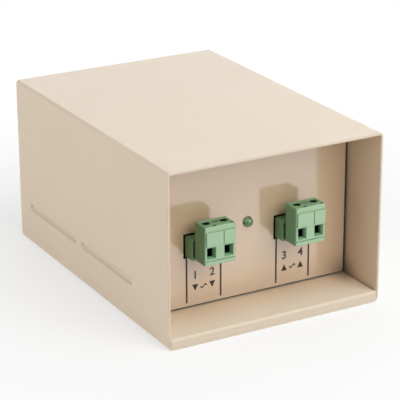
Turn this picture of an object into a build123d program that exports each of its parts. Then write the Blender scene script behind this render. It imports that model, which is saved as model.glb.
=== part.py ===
from build123d import *
import os
from math import radians, sqrt, tan

# Sleeve: one steel sheet folded round into a tube, open at both ends
case_width = 93.5
case_depth = 133.0
case_height = 70.0
case_sheet = 1.0
top_bend_inside = 0.6
bottom_bend_inside = 1.2
edge_break = 0.25

# Beads pressed into each side wall, one behind the other, which stiffen it and guide the tray
bead_height = 3.4
bead_bottom = 15.2
bead_depth = 0.8
bead_wall_run = 0.9
bead_front_inset = 29.4
bead_rear_inset = 10.0
bead_gap = 4.0

# Chassis: one folded sheet that slides into the sleeve
chassis_sheet = 1.0
floor_top = 4.6
chassis_clearance = 0.25
apron_bend = 1.2
lip_depth = 1.5
lip_clearance = 0.05
floor_seam = 0.6
cheek_bend = 1.5
cheek_clearance = 0.1
cheek_top = 52.0
cheek_rear_gap = 0.5
ear_width = 8.0
ear_lift = 3.0
rear_wall_recess = 0.4

# Screws that hold the sleeve to the chassis from below
case_screw_radius = 1.25
case_screw_length = 3.2
case_screw_edge_x = 13.0
case_screw_front = 38.0
case_screw_rear = 14.0
standoff_across_flats = 5.5
screw_clearance = 0.06

# Front panel: a thin printed sheet on a glass-fibre board
recess_depth = 22.2
overlay_thickness = 0.3
overlay_side_margin = 0.3
overlay_right_margin = 0.9
overlay_low_margin = 0.5
panel_board_thickness = 1.6
panel_gap = 0.35
cutout_clearance = 0.8
panel_screw_radius = 1.2
panel_screw_length = 5.0
panel_screw_low = 12.0
panel_screw_high = 46.0

# Terminal board, carried on spacers behind the panel board
board_ear_gap = 1.15
terminal_board_bottom = 14.0
terminal_board_top = 56.0
terminal_board_thickness = 1.6
board_corner_radius = 1.5
spacer_length = 5.2
spacer_across_flats = 5.0
spacer_inset = 4.0
spacer_screw_gap = 0.8
pan_head_radius = 2.2
pan_head_height = 1.6

# Plug-in terminals: a shrouded header on the board and a screw-clamp plug in it
pitch = 7.5
terminal_spacing = 40.0
header_bottom = 26.2
header_width = 15.0
header_height = 8.4
header_depth = 12.0
header_wall = 0.8
header_base = 1.7
header_chamfer = 0.4
pin_size = 1.0
pin_rim_setback = 2.3
pin_tail = 1.6
pin_clearance = 0.05

plug_width = 13.3
plug_height = 15.5
plug_block_depth = 7.8
plug_gap = 1.0
plug_lift = 0.6
plug_edge_break = 0.3
tongue_clearance = 0.35
tongue_length = 9.0

# Moulded detail of a plug's faces
pane_low = 8.0
pane_high = 13.4
pane_overhang = 0.35
pane_rib = 0.3
pane_rise = 0.6
foot_groove_height = 1.6
foot_groove_width = 0.4
foot_groove_sink = 0.45
funnel_width = 3.9
funnel_height = 4.6
funnel_centre = 4.9
funnel_depth = 1.2
wire_hole_width = 2.8
wire_hole_height = 4.0
screw_hole_radius = 1.75
notch_width = 0.9
notch_depth = 0.5
notch_sink = 0.8
notch_setback = 1.0
top_rib_count = 4
top_rib_pitch = 0.75
top_rib_width = 0.35
top_rib_length = 2.6
top_rib_sink = 0.25

# Rising wire clamp, its screw and the contact inside a plug
screw_setback = 4.5
clamp_width = 4.0
clamp_depth = 3.6
clamp_height = 6.8
clamp_wall = 0.6
clamp_top = 1.4
clamp_travel = 3.0
clamp_clearance = 0.3
pocket_floor = 2.0
terminal_screw_radius = 1.25
terminal_head_radius = 1.5
terminal_head_height = 1.4
terminal_head_seat = 0.8
terminal_head_gap = 0.1
thread_clearance = 0.06
screw_slot_width = 0.6
screw_slot_depth = 0.7
contact_width = 2.0
contact_bar = 0.6
contact_leaf = 0.5
contact_grip = 0.1
contact_clearance = 0.3
contact_end_wall = 0.5

# Indicator lamp, its stand-off and its leads
led_height = 35.3
led_diameter = 3.8
led_protrusion = 2.4
led_flange_radius = 2.3
led_flange = 1.0
led_hole_clearance = 0.2
led_lead_pitch = 2.54
led_lead_size = 0.5
lead_hole_clearance = 0.15
led_lead_tail = 1.5

# Lamp resistor and diode on the back of the terminal board
resistor_radius = 1.2
resistor_length = 6.5
resistor_bead = 1.6
resistor_waist = 0.25
resistor_height = 24.0
diode_radius = 1.3
diode_length = 5.0
diode_height = 19.0
component_x = 0.0
component_standoff = 0.3
lead_size = 0.5
lead_bend = 0.9
lead_reach = 2.0
lead_tail = 1.2

# Cartridge fuse in two spring clips
fuse_x = 14.0
fuse_height = 46.0
fuse_length = 20.0
fuse_cap_radius = 2.6
fuse_cap_length = 5.5
fuse_cap_wall = 0.25
fuse_glass_wall = 0.55
fuse_strip_width = 0.6
fuse_strip_thickness = 0.15
fuse_lift = 4.2
clip_width = 4.0
clip_sheet = 0.4
clip_mouth_angle = 70.0
clip_foot = 4.0
clip_neck = 1.6

# Transformer: stacked laminations, a split bobbin, two windings and a strap
tongue_width = 20.0
window_width = 10.0
window_height = 30.0
yoke = 10.0
stack = 30.0
transformer_setback = 86.0
bobbin_clearance = 0.35
bobbin_wall = 1.0
flange_thickness = 1.6
flange_reach = 8.6
winding_build = 7.2
winding_clearance = 0.1
winding_round = 3.0
tape = 0.4
tag_size = 0.8
tag_out = 5.0
tag_in = 3.0
tag_spacing = 22.0
strap_sheet = 1.0
strap_width = 22.0
strap_clearance = 0.1
strap_bend_inside = 0.25
foot_clearance = 0.8
transformer_screw_radius = 1.95
transformer_head_radius = 3.5
transformer_head_height = 2.1
transformer_screw_proud = 1.0
transformer_hole_clearance = 0.2
nut_across_flats = 7.0
nut_height = 3.2

# Insulated leads from the transformer's tags to the terminal board
wire_radius = 0.9
wire_sides = 8
wire_straight = 6.0
wire_bend = 5.0
primary_board_x = 20.0
secondary_board_x = -20.0
primary_board_height = 22.0
secondary_board_height = 50.0
wire_board_spacing = 8.0

# Places worked out from the sizes above
front = -case_depth / 2
inner_half = case_width / 2 - case_sheet
ceiling = case_height - case_sheet
bead_length = (case_depth - bead_front_inset - bead_rear_inset - bead_gap) / 2
bead_top = bead_bottom + bead_height
chassis_half = inner_half - chassis_clearance
lip_half = inner_half - lip_clearance
apron_half = inner_half - floor_seam
cheek_half = inner_half - bead_depth - cheek_clearance
cheek_inner = cheek_half - chassis_sheet
floor_under = floor_top - chassis_sheet
rear_outer = case_depth - rear_wall_recess
rear_inner = rear_outer - chassis_sheet

board_face = recess_depth + overlay_thickness
board_back = board_face + panel_board_thickness
terminal_face = board_back + spacer_length
terminal_back = terminal_face + terminal_board_thickness
spacer_screw_reach = (spacer_length - spacer_screw_gap) / 2
panel_half = inner_half - panel_gap
terminal_board_half = cheek_half - ear_width - board_ear_gap
panel_low = floor_top + panel_gap
panel_high = ceiling - panel_gap

terminals = {"output": -terminal_spacing / 2, "input": terminal_spacing / 2}
pole_sides = {"left": -pitch / 2, "right": pitch / 2}
header_middle = header_bottom + header_height / 2
rim = terminal_face - header_depth
plug_face = rim - plug_gap - plug_block_depth
plug_back = plug_face + plug_block_depth
plug_bottom = header_bottom + plug_lift
plug_top = plug_bottom + plug_height
tongue_width_plug = header_width - 2 * (header_wall + tongue_clearance)
tongue_height_plug = header_height - 2 * (header_wall + tongue_clearance)
tongue_end = plug_back + tongue_length

screw_line = plug_face + screw_setback
pocket_bottom = plug_bottom + pocket_floor
clamp_bottom = pocket_bottom + clamp_clearance
window_top = clamp_bottom + clamp_height - clamp_top
pocket_top = clamp_bottom + clamp_height + clamp_travel + clamp_clearance
pocket_front = screw_line - clamp_depth / 2 - clamp_clearance
web_front = screw_line + clamp_depth / 2 + clamp_clearance
pocket_back = web_front + contact_leaf + contact_grip
bar_top = window_top - contact_clearance
bar_bottom = bar_top - contact_bar
leaf_gap = pin_size / 2 + contact_grip
head_bottom = pocket_top + terminal_head_seat + terminal_head_gap
screw_tip = bar_top + contact_clearance / 2

led_base = board_back + led_hole_clearance + led_flange
core_width = tongue_width + 2 * window_width + 2 * yoke
core_e_top = floor_top + yoke + window_height
core_top = core_e_top + yoke
bobbin_bottom = floor_top + yoke + bobbin_clearance
bobbin_height = window_height - 2 * bobbin_clearance
coil_height = (bobbin_height - 3 * flange_thickness) / 2
tube_x = tongue_width + 2 * (bobbin_clearance + bobbin_wall)
tube_y = stack + 2 * (bobbin_clearance + bobbin_wall)
flange_front = transformer_setback - tube_y / 2 - flange_reach
strap_inner = core_width / 2 + strap_clearance
strap_outer = strap_inner + strap_sheet
foot_end = cheek_inner - foot_clearance
foot_hole = (strap_outer + foot_end) / 2


def span(left, right, low, high):
    """Rectangle between two corners."""
    middle = Pos((left + right) / 2, (low + high) / 2)
    return middle * Rectangle(right - left, high - low)


def from_front(sketch, start, length):
    """Extrude a front-view sketch backwards from a depth behind the sleeve's front edge."""
    view = Plane(origin=(0, front + start, 0), x_dir=(1, 0, 0), z_dir=(0, -1, 0))
    return extrude(view * sketch, amount=-length)


def from_above(sketch, bottom, height):
    """Extrude a plan-view sketch upwards. Its second coordinate is the depth behind the front."""
    return extrude(Pos(0, front, bottom) * sketch, amount=height)


def from_left(sketch, left, width):
    """Extrude a side-view sketch of depth and height across to the right."""
    view = Plane(origin=(left, front, 0), x_dir=(0, 1, 0), z_dir=(1, 0, 0))
    return extrude(view * sketch, amount=width)


def turned_from_front(points, x, height):
    """Revolve an outline of radius and depth about a line that runs straight back."""
    view = Plane(origin=(x, front, height), x_dir=(1, 0, 0), z_dir=(0, 0, 1))
    line = Axis((x, front, height), (0, 1, 0))
    return revolve(view * make_face(Polyline(*points, close=True)), line)


def turned_upright(points, x, depth):
    """Revolve an outline of radius and height about an upright line."""
    view = Plane(origin=(x, front + depth, 0), x_dir=(1, 0, 0), z_dir=(0, -1, 0))
    line = Axis((x, front + depth, 0), (0, 0, 1))
    return revolve(view * make_face(Polyline(*points, close=True)), line)


def countersink(radius, plate, start=0.0):
    """Outline of a right-angled conical hole through a whole plate."""
    return [(0, start), (radius + plate, start), (radius, start + plate), (0, start + plate)]


def countersunk(radius, plate, length, start=0.0):
    """Outline of a screw whose conical head fills such a hole, from its flat head onwards."""
    return [(0, start), (radius + plate, start), (radius, start + plate),
            (radius, start + length), (0, start + length)]


def bent_section(width, height, top_radius, bottom_radius):
    """Front view of a folded tube: a rectangle on its base line with rounded bends."""
    outline = Rectangle(width, height, align=(Align.CENTER, Align.MIN))
    outline = fillet(outline.vertices().group_by(Axis.Y)[-1], top_radius)
    return fillet(outline.vertices().group_by(Axis.Y)[0], bottom_radius)


def hexagon(across_flats):
    """Plan or front view of a hexagon nut or spacer."""
    return RegularPolygon(across_flats / 2, 6, major_radius=False)


def case_screw_places():
    """Plan places of the four screws under the case."""
    side = inner_half - case_screw_edge_x
    return [(x, y) for x in (-side, side) for y in (case_screw_front, case_depth - case_screw_rear)]


def panel_screw_places():
    """Front-view places of the screws that hold the panel board to the chassis ears."""
    side = cheek_half - ear_width / 2
    return [(x, z) for x in (-side, side) for z in (panel_screw_low, panel_screw_high)]


def spacer_places():
    """Front-view places of the spacers between the two boards."""
    side = terminal_board_half - spacer_inset
    heights = (terminal_board_bottom + spacer_inset, terminal_board_top - spacer_inset)
    return [(x, z) for x in (-side, side) for z in heights]


def side_grooves(side):
    """Hollow of each bead in one side wall, and the same form moved in by the sheet's thickness."""
    mouth = SlotOverall(bead_length, bead_height)
    bed = SlotOverall(bead_length - 2 * bead_wall_run, bead_height - 2 * bead_wall_run)
    wall = Plane(origin=(side * case_width / 2, front, 0), x_dir=(0, 1, 0), z_dir=(1, 0, 0))
    grooves = []
    for start in (bead_front_inset, bead_front_inset + bead_length + bead_gap):
        middle = Pos(start + bead_length / 2, (bead_bottom + bead_top) / 2)
        groove = loft([wall * (middle * mouth), wall.offset(-side * bead_depth) * (middle * bed)], ruled=True)
        grooves.append((groove, Pos(-side * case_sheet, 0, 0) * groove))
    return grooves


def case_sleeve():
    """Folded tube with pressed side beads and the countersunk holes in its underside."""
    outside = bent_section(case_width, case_height, top_bend_inside + case_sheet,
                           bottom_bend_inside + case_sheet)
    inside = bent_section(2 * inner_half, ceiling - case_sheet, top_bend_inside, bottom_bend_inside)
    tube = from_front(outside - Pos(0, case_sheet) * inside, 0, case_depth)
    along = tube.edges().filter_by(Axis.Y)
    tube = chamfer(tube.edges() - along, edge_break)
    for hollow, back in side_grooves(-1) + side_grooves(1):
        tube = tube + back - hollow
    hole = countersink(case_screw_radius + screw_clearance, case_sheet)
    for x, depth in case_screw_places():
        tube -= turned_upright(hole, x, depth)
    return tube


def chassis():
    """Tray with a rolled front apron, upright side cheeks with ears, and a welded rear wall."""
    lip, tray = [span(-half, half, case_sheet, floor_top) for half in (lip_half, apron_half)]
    lip = fillet(lip.vertices().group_by(Axis.Y)[0], bottom_bend_inside)
    tray = fillet(tray.vertices().group_by(Axis.Y)[0], bottom_bend_inside)
    apron = from_front(lip, 0, lip_depth) + from_front(tray, lip_depth, board_back - lip_depth)
    apron = fillet(apron.edges().group_by(Axis.Y)[0].group_by(Axis.Z)[-1], apron_bend)
    under = span(-apron_half + chassis_sheet, apron_half - chassis_sheet, case_sheet, floor_under)
    apron -= from_front(under, chassis_sheet, board_back)

    trough = span(-cheek_half, cheek_half, floor_under, cheek_top)
    trough = fillet(trough.vertices().group_by(Axis.Y)[0], cheek_bend)
    hollow = span(-cheek_inner, cheek_inner, floor_top, cheek_top)
    hollow = fillet(hollow.vertices().group_by(Axis.Y)[0], cheek_bend - chassis_sheet)
    body = apron + from_front(trough - hollow, board_back, rear_inner - cheek_rear_gap - board_back)

    ear_bottom = floor_top + ear_lift
    ear_back = board_back + chassis_sheet
    for side in (-1, 1):
        inner, outer = sorted((side * (cheek_half - ear_width), side * cheek_inner))
        body += from_above(span(inner, outer, board_back, ear_back), ear_bottom, cheek_top - ear_bottom)

    floor_half = cheek_half - cheek_bend
    body += from_front(span(-floor_half, floor_half, floor_under, floor_top), rear_inner - cheek_rear_gap,
                       cheek_rear_gap)
    wall_top = ceiling - chassis_clearance
    wall = span(-chassis_half, chassis_half, case_sheet, wall_top)
    wall = fillet(wall.vertices().group_by(Axis.Y)[0], bottom_bend_inside)
    for side in (-1, 1):
        inner, outer = sorted((side * cheek_half, side * chassis_half))
        wall -= span(inner, outer, bead_bottom - chassis_clearance, bead_top + chassis_clearance)
    body += from_front(wall, rear_inner, chassis_sheet)

    foot_bore = transformer_screw_radius + transformer_hole_clearance
    for x in (-foot_hole, foot_hole):
        body -= from_above(Pos(x, transformer_setback) * Circle(foot_bore), 0, cheek_top)
    for x, height in panel_screw_places():
        bore = Pos(x, height) * Circle(panel_screw_radius + screw_clearance)
        body -= from_front(bore, board_back, chassis_sheet)
    return body


def chassis_standoffs():
    """Hexagon nuts welded under the tray, which take the case screws."""
    ring = hexagon(standoff_across_flats) - Circle(case_screw_radius + screw_clearance)
    height = floor_under - case_sheet
    return [from_above(Pos(x, y) * ring, case_sheet, height) for x, y in case_screw_places()]


def case_screws():
    """Countersunk screws, flush with the underside."""
    outline = countersunk(case_screw_radius, case_sheet, case_screw_length)
    return [turned_upright(outline, x, depth) for x, depth in case_screw_places()]


def header_cutouts():
    """Front-view openings that let the two headers through the panel."""
    opening = Rectangle(header_width + 2 * cutout_clearance, header_height + 2 * cutout_clearance)
    return Sketch() + [Pos(x, header_middle) * opening for x in terminals.values()]


def lamp_hole():
    """Front-view hole for the lamp."""
    return Pos(0, led_height) * Circle(led_diameter / 2 + led_hole_clearance)


def panel_board():
    """Upright glass-fibre board that closes the front of the case."""
    outline = span(-panel_half, panel_half, panel_low, panel_high)
    outline -= header_cutouts() + lamp_hole()
    board = from_front(outline, board_face, panel_board_thickness)
    hole = countersink(panel_screw_radius + screw_clearance, panel_board_thickness, board_face)
    for x, height in panel_screw_places() + spacer_places():
        board -= turned_from_front(hole, x, height)
    return board


def panel_overlay():
    """Printed sheet stuck on the panel board, a little short of its right and lower edges."""
    outline = span(-panel_half + overlay_side_margin, panel_half - overlay_right_margin,
                   panel_low + overlay_low_margin, panel_high - overlay_side_margin)
    outline -= header_cutouts() + lamp_hole()
    return from_front(outline, recess_depth, overlay_thickness)


def flush_screws(places, length):
    """Countersunk screws sunk in the face of the panel board."""
    outline = countersunk(panel_screw_radius, panel_board_thickness, length, board_face)
    return [turned_from_front(outline, x, height) for x, height in places]


def board_spacers():
    """Tapped hexagon spacers between the two boards."""
    ring = hexagon(spacer_across_flats) - Circle(panel_screw_radius + screw_clearance)
    return [from_front(Pos(x, z) * ring, board_back, spacer_length) for x, z in spacer_places()]


def spacer_rear_screws():
    """Pan-head screws that hold the terminal board to its spacers."""
    tip = terminal_face - spacer_screw_reach
    head = terminal_back + pan_head_height
    outline = [(0, tip), (panel_screw_radius, tip), (panel_screw_radius, terminal_back),
               (pan_head_radius, terminal_back), (pan_head_radius, head), (0, head)]
    return [turned_from_front(outline, x, z) for x, z in spacer_places()]


def pin_places(x):
    """Front-view places of one header's contact pins."""
    return [(x + offset, header_middle) for offset in pole_sides.values()]


def lead_bores():
    """Front-view holes in the terminal board for the pins and component leads."""
    pin_bore = Rectangle(pin_size + 2 * pin_clearance, pin_size + 2 * pin_clearance)
    bores = [Pos(*place) * pin_bore for x in terminals.values() for place in pin_places(x)]
    lamp_bore = Circle(led_lead_size / sqrt(2) + lead_hole_clearance)
    bores += [Pos(side * led_lead_pitch / 2, led_height) * lamp_bore for side in (-1, 1)]
    wire_bore = Circle(lead_size / sqrt(2) + lead_hole_clearance)
    bores += [Pos(*place) * wire_bore for place in component_lead_places()]
    return Sketch() + bores


def terminal_board():
    """Circuit board that carries the headers, the lamp, the fuse and the transformer leads."""
    outline = span(-terminal_board_half, terminal_board_half, terminal_board_bottom, terminal_board_top)
    outline = fillet(outline.vertices(), board_corner_radius)
    screw_bore = Circle(panel_screw_radius + screw_clearance)
    outline -= Sketch() + [Pos(*place) * screw_bore for place in spacer_places()]
    return from_front(outline - lead_bores(), terminal_face, terminal_board_thickness)


def header(x):
    """Open shroud, closed at the board by a base that grips the pins."""
    shell = from_front(Pos(x, header_middle) * Rectangle(header_width, header_height), rim, header_depth)
    shell = chamfer(shell.edges().filter_by(Axis.Y), header_chamfer)
    cavity = Rectangle(header_width - 2 * header_wall, header_height - 2 * header_wall)
    shell -= from_front(Pos(x, header_middle) * cavity, rim, header_depth - header_base)
    bore = Rectangle(pin_size + 2 * pin_clearance, pin_size + 2 * pin_clearance)
    for place in pin_places(x):
        shell -= from_front(Pos(*place) * bore, rim, header_depth)
    return shell


def header_pins(x):
    """Square pins through the header's base and the board."""
    start = rim + pin_rim_setback
    length = terminal_back + pin_tail - start
    return [from_front(Pos(*place) * Rectangle(pin_size, pin_size), start, length) for place in pin_places(x)]


def plug(x):
    """Moulded plug: a block with wire funnels, raised label panes and screw holes, and a tongue behind."""
    left = x - plug_width / 2
    right = x + plug_width / 2
    block = from_front(span(left, right, plug_bottom, plug_top), plug_face, plug_block_depth)
    block = chamfer(block.edges(), plug_edge_break)
    for offset in pole_sides.values():
        pane_left = x + offset - funnel_width / 2 - pane_overhang
        pane_right = min(pane_left + pitch - pane_rib, right - plug_edge_break)
        pane = span(pane_left, pane_right, plug_bottom + pane_low, plug_bottom + pane_high)
        block += from_front(pane, plug_face - pane_rise, pane_rise)
    groove_low = plug_bottom + foot_groove_height
    groove = span(left, right, groove_low, groove_low + foot_groove_width)
    block -= from_front(groove, plug_face, foot_groove_sink)
    tongue = Pos(x, header_middle) * Rectangle(tongue_width_plug, tongue_height_plug)
    block += from_front(tongue, plug_back, tongue_length)
    for offset in pole_sides.values():
        block -= pole_cavity(x + offset)
    for rib in range(top_rib_count):
        middle = x + (rib - (top_rib_count - 1) / 2) * top_rib_pitch
        cut = Pos(middle, screw_line) * Rectangle(top_rib_width, top_rib_length)
        block -= from_above(cut, plug_top - top_rib_sink, top_rib_sink)
    return block


def pole_cavity(x):
    """Everything cut away for one pole: wire funnel, clamp pocket, screw hole and contact slot."""
    height = plug_bottom + funnel_centre
    mouth = Plane(origin=(x, front + plug_face, height), x_dir=(1, 0, 0), z_dir=(0, -1, 0))
    throat = mouth.offset(-funnel_depth)
    wire_section = Rectangle(wire_hole_width, wire_hole_height)
    funnel = loft([mouth * Rectangle(funnel_width, funnel_height), throat * wire_section], ruled=True)
    wire_hole = from_front(Pos(x, height) * wire_section, plug_face, pocket_front - plug_face)
    half = clamp_width / 2 + clamp_clearance
    pocket_outline = span(x - half, x + half, pocket_bottom, pocket_top)
    pocket = from_front(pocket_outline, pocket_front, pocket_back - pocket_front)
    stem = Circle(terminal_screw_radius + clamp_clearance)
    stem_hole = from_above(Pos(x, screw_line) * stem, pocket_top, terminal_head_seat)
    head_hole = from_above(Pos(x, screw_line) * Circle(screw_hole_radius), pocket_top + terminal_head_seat,
                           plug_top - pocket_top)
    leaf_half = contact_width / 2 + contact_clearance
    leaf_rise = leaf_gap + contact_leaf + contact_clearance
    slot = span(x - leaf_half, x + leaf_half, header_middle - leaf_rise, header_middle + leaf_rise)
    contact_slot = from_front(slot, pocket_back, tongue_end - contact_end_wall - pocket_back)
    entry = Rectangle(pin_size + 2 * contact_clearance, pin_size + 2 * contact_clearance)
    pin_entry = from_front(Pos(x, header_middle) * entry, plug_back, tongue_length)
    notch = Pos(x + screw_hole_radius, plug_face + notch_setback) * Rectangle(notch_width, notch_depth)
    top_notch = from_above(notch, plug_top - notch_sink, notch_sink)
    return Part() + [funnel, wire_hole, pocket, stem_hole, head_hole, contact_slot, pin_entry, top_notch]


def plug_contacts(x):
    """One bent contact for each pole: a bar in the clamp, a web, and two leaves for the pin."""
    bar_front = screw_line - clamp_depth / 2
    leaf_end = tongue_end - contact_end_wall - contact_clearance
    web_back = web_front + contact_leaf
    leaf_outer = leaf_gap + contact_leaf
    web_low = min(header_middle - leaf_outer, bar_bottom)
    profile = span(bar_front, web_back, bar_bottom, bar_top)
    profile += span(web_front, web_back, web_low, bar_top)
    profile += span(web_front, leaf_end, header_middle + leaf_gap, header_middle + leaf_outer)
    profile += span(web_front, leaf_end, header_middle - leaf_outer, header_middle - leaf_gap)
    left = x - contact_width / 2
    return [from_left(profile, left + offset, contact_width) for offset in pole_sides.values()]


def terminal_screw(x):
    """Slotted screw that turns in its seat and draws the clamp up."""
    head_top = head_bottom + terminal_head_height
    outline = [(0, screw_tip), (terminal_screw_radius, screw_tip), (terminal_screw_radius, head_bottom),
               (terminal_head_radius, head_bottom), (terminal_head_radius, head_top), (0, head_top)]
    screw = turned_upright(outline, x, screw_line)
    slot = Pos(x, screw_line) * Rectangle(2 * terminal_head_radius, screw_slot_width)
    return screw - from_above(slot, head_top - screw_slot_depth, screw_slot_depth)


def wire_clamp(x):
    """Square cage with a tapped top, open to the front and the back."""
    half = clamp_width / 2
    frame = span(x - half, x + half, clamp_bottom, clamp_bottom + clamp_height)
    frame -= span(x - half + clamp_wall, x + half - clamp_wall, clamp_bottom + clamp_wall, window_top)
    cage = from_front(frame, screw_line - clamp_depth / 2, clamp_depth)
    bore = Pos(x, screw_line) * Circle(terminal_screw_radius + thread_clearance)
    return cage - from_above(bore, window_top, clamp_top)


def led_lens():
    """Domed lamp with a flange behind the panel."""
    radius = led_diameter / 2
    shoulder = recess_depth - led_protrusion + radius
    view = Plane(origin=(0, front, led_height), x_dir=(1, 0, 0), z_dir=(0, 0, 1))
    tip = recess_depth - led_protrusion
    dome = RadiusArc((0, tip), (radius, shoulder), -radius)
    flange = led_base - led_flange
    side = Polyline((radius, shoulder), (radius, flange), (led_flange_radius, flange),
                    (led_flange_radius, led_base), (0, led_base), (0, tip))
    return revolve(view * make_face([dome, side]), Axis((0, front, led_height), (0, 1, 0)))


def led_spacer():
    """Plastic collar that holds the lamp off the terminal board."""
    collar = Circle(led_flange_radius)
    slot_size = led_lead_size + 2 * lead_hole_clearance
    collar -= Rectangle(led_lead_pitch + slot_size, slot_size)
    return from_front(Pos(0, led_height) * collar, led_base, terminal_face - led_base)


def led_leads():
    """Two square wires from the lamp through the board."""
    lead = Rectangle(led_lead_size, led_lead_size)
    length = terminal_back + led_lead_tail - led_base
    places = [Pos(side * led_lead_pitch / 2, led_height) for side in (-1, 1)]
    return [from_front(place * lead, led_base, length) for place in places]


def component_lead_places():
    """Front-view places where the resistor's and the diode's leads pass through the board."""
    rows = ((resistor_length, resistor_height), (diode_length, diode_height))
    return [(component_x + side * (length / 2 + lead_reach), z) for length, z in rows for side in (-1, 1)]


def led_resistor():
    """Axial resistor body with the swollen ends of its coating."""
    depth = terminal_back + component_standoff + resistor_radius
    half = resistor_length / 2
    neck = half - resistor_bead
    barrel = resistor_radius - resistor_waist
    outline = [(-half, 0), (-half, resistor_radius), (-neck, resistor_radius), (-neck, barrel),
               (neck, barrel), (neck, resistor_radius), (half, resistor_radius), (half, 0)]
    view = Plane(origin=(component_x, front + depth, resistor_height), x_dir=(1, 0, 0), z_dir=(0, -1, 0))
    line = Axis((component_x, front + depth, resistor_height), (1, 0, 0))
    return revolve(view * make_face(Polyline(*outline, close=True)), line)


def led_diode():
    """Plain cylindrical diode body."""
    depth = terminal_back + component_standoff + diode_radius
    section = Pos(depth, diode_height) * Circle(diode_radius)
    return from_left(section, component_x - diode_length / 2, diode_length)


def component_leads():
    """Bent tinned wires of the resistor and the diode."""
    rows = ((resistor_length, resistor_height, resistor_radius), (diode_length, diode_height, diode_radius))
    wires = []
    for length, height, radius in rows:
        depth = front + terminal_back + component_standoff + radius
        for side in (-1, 1):
            start = (component_x + side * length / 2, depth, height)
            corner = (component_x + side * (length / 2 + lead_reach), depth, height)
            end = (corner[0], front + terminal_face - lead_tail, height)
            path = FilletPolyline(start, corner, end, radius=lead_bend)
            section = Plane(origin=start, z_dir=(side, 0, 0)) * Rectangle(lead_size, lead_size)
            wires.append(sweep(section, path))
    return wires


def fuse_line():
    """Depth of the fuse's own axis."""
    return terminal_back + fuse_lift


def across(sketch, start, length):
    """Extrude a section of the fuse along its own axis, from a distance left or right of its middle."""
    return from_left(Pos(fuse_line(), fuse_height) * sketch, fuse_x + start, length)


def fuse_tube():
    """Glass tube of the fuse, inside its end caps."""
    outer = fuse_cap_radius - fuse_cap_wall - pin_clearance
    length = fuse_length - 2 * fuse_cap_wall
    return across(Circle(outer) - Circle(outer - fuse_glass_wall), -length / 2, length)


def fuse_caps():
    """Two plated cups on the ends of the glass."""
    caps = []
    for side in (-1, 1):
        outer_end = side * fuse_length / 2
        mouth = outer_end - side * fuse_cap_length
        cup = across(Circle(fuse_cap_radius), min(outer_end, mouth), fuse_cap_length)
        bore = Circle(fuse_cap_radius - fuse_cap_wall)
        cup -= across(bore, min(outer_end - side * fuse_cap_wall, mouth), fuse_cap_length - fuse_cap_wall)
        caps.append(cup)
    return caps


def fuse_wire():
    """Melting strip from cap to cap."""
    length = fuse_length - 2 * fuse_cap_wall
    return across(Rectangle(fuse_strip_thickness, fuse_strip_width), -length / 2, length)


def fuse_clips():
    """Spring clips: an open ring round each cap on a flat foot that sits on the board."""
    inner = fuse_cap_radius + pin_clearance
    outer = inner + clip_sheet
    mouth_end = 2 * outer
    mouth_half = mouth_end * tan(radians(clip_mouth_angle / 2))
    mouth = make_face(Polyline((0, 0), (mouth_end, mouth_half), (mouth_end, -mouth_half), close=True))
    foot = span(-fuse_lift, -fuse_lift + clip_sheet, -clip_foot / 2, clip_foot / 2)
    neck = span(-fuse_lift, -inner, -clip_neck / 2, clip_neck / 2)
    section = (Circle(outer) + foot + neck) - Circle(inner) - mouth
    middle = (fuse_length - fuse_cap_length) / 2
    return [across(section, side * middle - clip_width / 2, clip_width) for side in (-1, 1)]


def core_e():
    """Lower stack of laminations: a yoke with three legs."""
    outline = span(-core_width / 2, core_width / 2, floor_top, core_e_top)
    for side in (-1, 1):
        inner, outer = sorted((side * tongue_width / 2, side * (tongue_width / 2 + window_width)))
        outline -= span(inner, outer, floor_top + yoke, core_e_top)
    return from_front(outline, transformer_setback - stack / 2, stack)


def core_i():
    """Straight laminations that close the windows."""
    outline = span(-core_width / 2, core_width / 2, core_e_top, core_top)
    return from_front(outline, transformer_setback - stack / 2, stack)


def coil_ring(inner_x, inner_y, build, corner):
    """Plan view of a ring wound on the bobbin."""
    outer = Rectangle(inner_x + 2 * build, inner_y + 2 * build)
    return Pos(0, transformer_setback) * (fillet(outer.vertices(), corner) - Rectangle(inner_x, inner_y))


def tag_places():
    """Front-view places of the bobbin's solder tags, two on the lowest and two on the highest flange."""
    low = bobbin_bottom + flange_thickness / 2
    high = bobbin_bottom + bobbin_height - flange_thickness / 2
    return [(side * tag_spacing / 2, z) for z in (low, high) for side in (-1, 1)]


def bobbin():
    """Moulded former with a dividing flange between its two windings."""
    tube = coil_ring(tube_x - 2 * bobbin_wall, tube_y - 2 * bobbin_wall, bobbin_wall, bobbin_wall)
    body = from_above(tube, bobbin_bottom, bobbin_height)
    side_reach = window_width - 2 * bobbin_clearance - bobbin_wall
    plate = Rectangle(tube_x + 2 * side_reach, tube_y + 2 * flange_reach) - Rectangle(tube_x, tube_y)
    for step in range(3):
        bottom = bobbin_bottom + step * (coil_height + flange_thickness)
        body += from_above(Pos(0, transformer_setback) * plate, bottom, flange_thickness)
    bore = Rectangle(tag_size + 2 * pin_clearance, tag_size + 2 * pin_clearance)
    for place in tag_places():
        body -= from_front(Pos(*place) * bore, flange_front, tag_in)
    return body


def coil_bottom(step):
    """Height of the underside of the first or the second coil."""
    return bobbin_bottom + flange_thickness + step * (coil_height + flange_thickness) + winding_clearance


def winding(step):
    """One wound coil between two flanges."""
    ring = coil_ring(tube_x, tube_y, winding_build, winding_round)
    return from_above(ring, coil_bottom(step), coil_height - 2 * winding_clearance)


def winding_tape(step):
    """Insulating tape round one coil."""
    outer = coil_ring(tube_x, tube_y, winding_build + tape, winding_round + tape)
    inner = coil_ring(tube_x, tube_y, winding_build, winding_round)
    return from_above(outer - inner, coil_bottom(step), coil_height - 2 * winding_clearance)


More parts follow.
